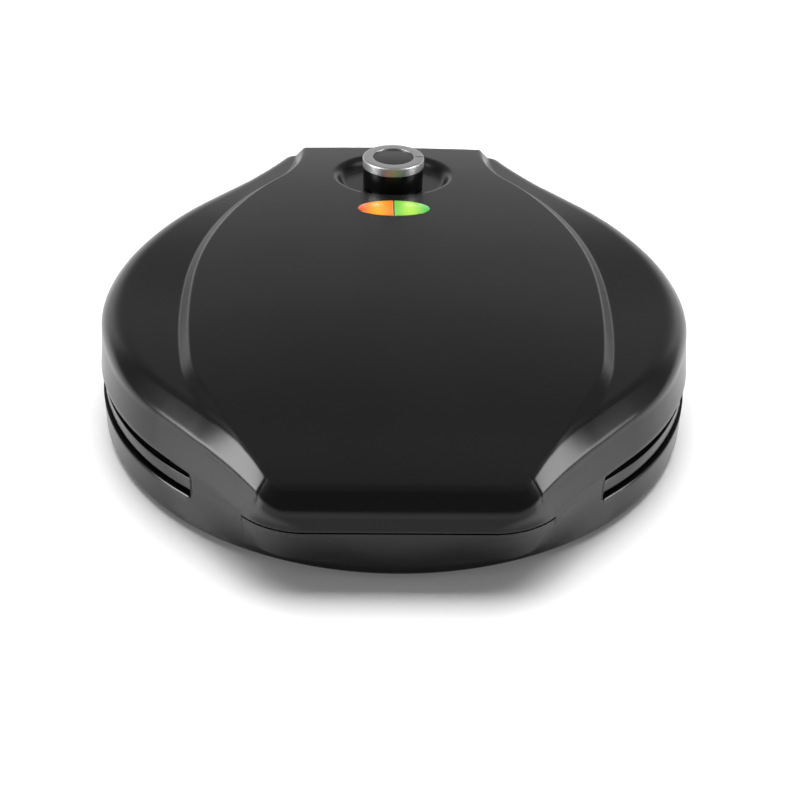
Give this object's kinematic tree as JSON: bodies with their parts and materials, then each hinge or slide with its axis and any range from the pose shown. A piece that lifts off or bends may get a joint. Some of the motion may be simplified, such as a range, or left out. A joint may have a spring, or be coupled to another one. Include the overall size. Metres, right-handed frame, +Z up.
{
  "type": "electric pizza maker",
  "caption": "Round countertop pizza maker: a flat tub and a hinged lid with facing heated cooking plates, a nose grip, a rotary heat knob and a two-colour lamp window.",
  "frame": {"origin": "on the floor under the feet, at the middle of the plan's bounding box", "axes": "+Z up, -Y towards the front grip, +Y towards the hinge, +X to the right seen from the front"},
  "size_m": [0.342, 0.38, 0.097],
  "materials": {
    "cover_plastic": "gloss moulded black",
    "shell_plastic": "satin gloss moulded black",
    "bezel_plastic": "satin heat-resistant black",
    "knob_plastic": "satin black",
    "knob_metal": "satin silver ring",
    "orange_lens": "translucent orange",
    "green_lens": "translucent green",
    "lamp_glass": "clear glass",
    "housing_plastic": "moulded white",
    "non_stick": "cast, dark non-stick coat",
    "element_steel": "drawn tube",
    "sheet_steel": "bright sheet",
    "screw_steel": "plated",
    "ceramic": "bare ceramic",
    "brass": "turned",
    "foot_rubber": "moulded",
    "wire_cover": "silicone",
    "hinge_plastic": "black coated"
  },
  "bodies": {
    "base": {"base_hinge_brackets": "hinge_plastic", "base_screws": "screw_steel", "base_wires": "wire_cover", "cord_inlet_bush": "bezel_plastic", "hinge_bracket_screws": "screw_steel", "hinge_pin_clips": "screw_steel", "hinge_pins": "screw_steel", "lower_bezel": "bezel_plastic", "lower_clamp_screws": "screw_steel", "lower_clip_screws": "screw_steel", "lower_element": "element_steel", "lower_element_beads": "ceramic", "lower_element_clamps": "sheet_steel", "lower_element_tabs": "brass", "lower_plate": "non_stick", "lower_plate_clips": "sheet_steel", "lower_reflector": "sheet_steel", "lower_reflector_screws": "screw_steel", "lower_shell": "shell_plastic", "rubber_feet": "foot_rubber", "terminal_block": "housing_plastic", "terminal_clamps": "brass"},
    "lid": {"fuse_clip": "sheet_steel", "green_lamp": "lamp_glass", "hinge_arm_screws": "screw_steel", "lamp_housing": "housing_plastic", "lens_green": "green_lens", "lens_orange": "orange_lens", "lid_cover": "cover_plastic", "lid_hinge_arms": "hinge_plastic", "lid_screws": "screw_steel", "lid_wires": "wire_cover", "orange_lamp": "lamp_glass", "thermal_fuse": "element_steel", "thermostat_body": "ceramic", "thermostat_bushing": "brass", "thermostat_nut": "brass", "thermostat_tabs": "brass", "upper_bezel": "bezel_plastic", "upper_clamp_screws": "screw_steel", "upper_clip_screws": "screw_steel", "upper_element": "element_steel", "upper_element_beads": "ceramic", "upper_element_clamps": "sheet_steel", "upper_element_tabs": "brass", "upper_plate": "non_stick", "upper_plate_clips": "sheet_steel", "upper_reflector": "sheet_steel", "upper_reflector_screws": "screw_steel"},
    "knob": {"knob_body": "knob_plastic", "knob_cap": "knob_plastic", "knob_ring": "knob_metal", "thermostat_shaft": "element_steel"}
  },
  "joints": [
    {"name": "lid_hinge", "type": "hinge", "parent": "base", "child": "lid", "pos_m": [0, 0.179, 0.032], "axis": [-1, 0, 0], "range_deg": [0, 95]},
    {"name": "knob_turn", "type": "hinge", "parent": "lid", "child": "knob", "pos_m": [0, 0.132, 0.08], "axis": [0, 0, 1], "range_deg": [-270, 0]}
  ]
}
